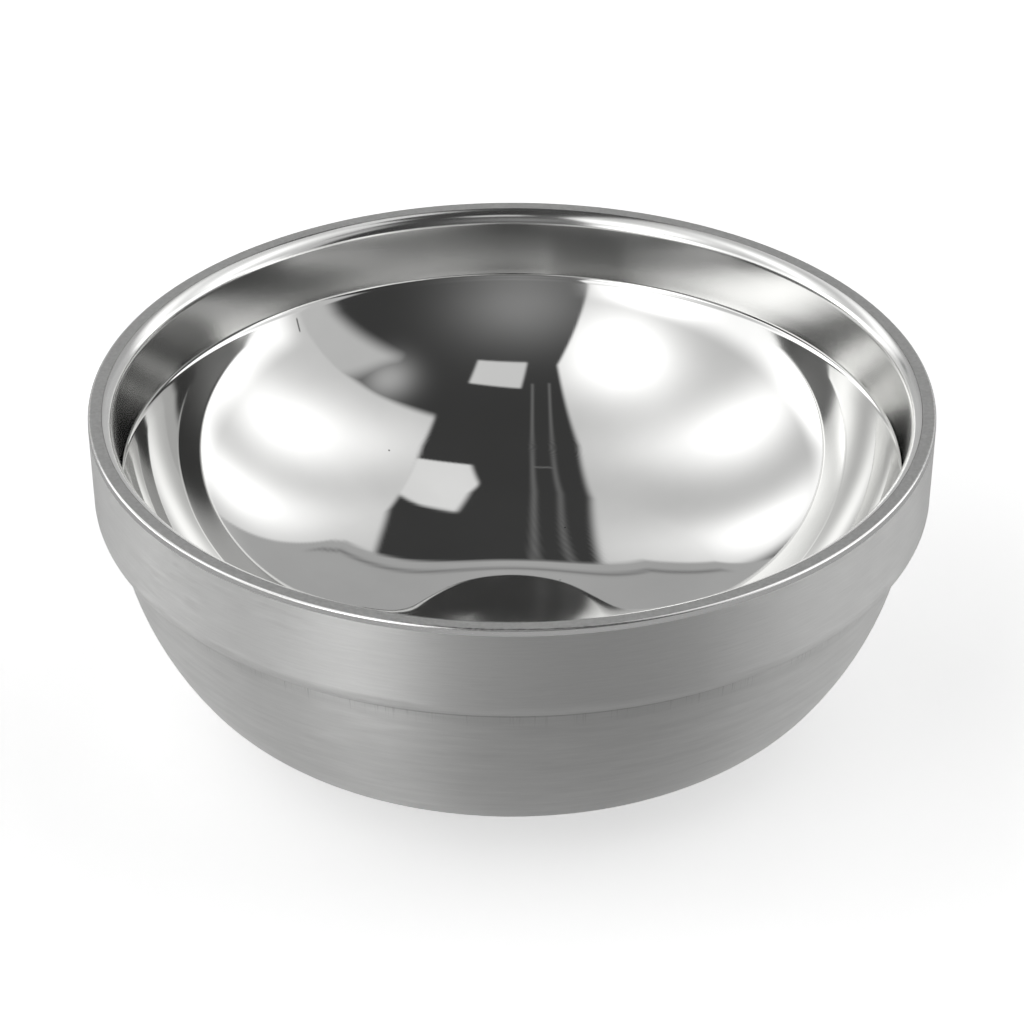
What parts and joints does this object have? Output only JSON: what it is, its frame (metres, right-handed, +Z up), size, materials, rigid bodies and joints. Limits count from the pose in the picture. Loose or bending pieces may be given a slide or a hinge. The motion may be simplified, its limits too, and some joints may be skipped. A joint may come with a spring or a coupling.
{
  "type": "shaving bowl",
  "caption": "Double-wall metal shaving bowl: polished inner bowl in a satin outer shell, joined by a ground weld at the rim.",
  "frame": {"origin": "on the axis, at the surface that the bowl stands on", "axes": "+Z up along the bowl's axis, +X and +Y level; the bowl is round, so X and Y are alike"},
  "size_m": [0.115, 0.115, 0.0456],
  "materials": {
    "polished_steel": "mirror polished, with fine hairline scratches",
    "satin_steel": "satin band above a circumferentially brushed body",
    "ground_rim": "ground flat, with a polished outer corner"
  },
  "bodies": {
    "root": {"inner_bowl": "polished_steel", "outer_shell": "satin_steel", "rim_weld": "ground_rim"}
  },
  "joints": []
}
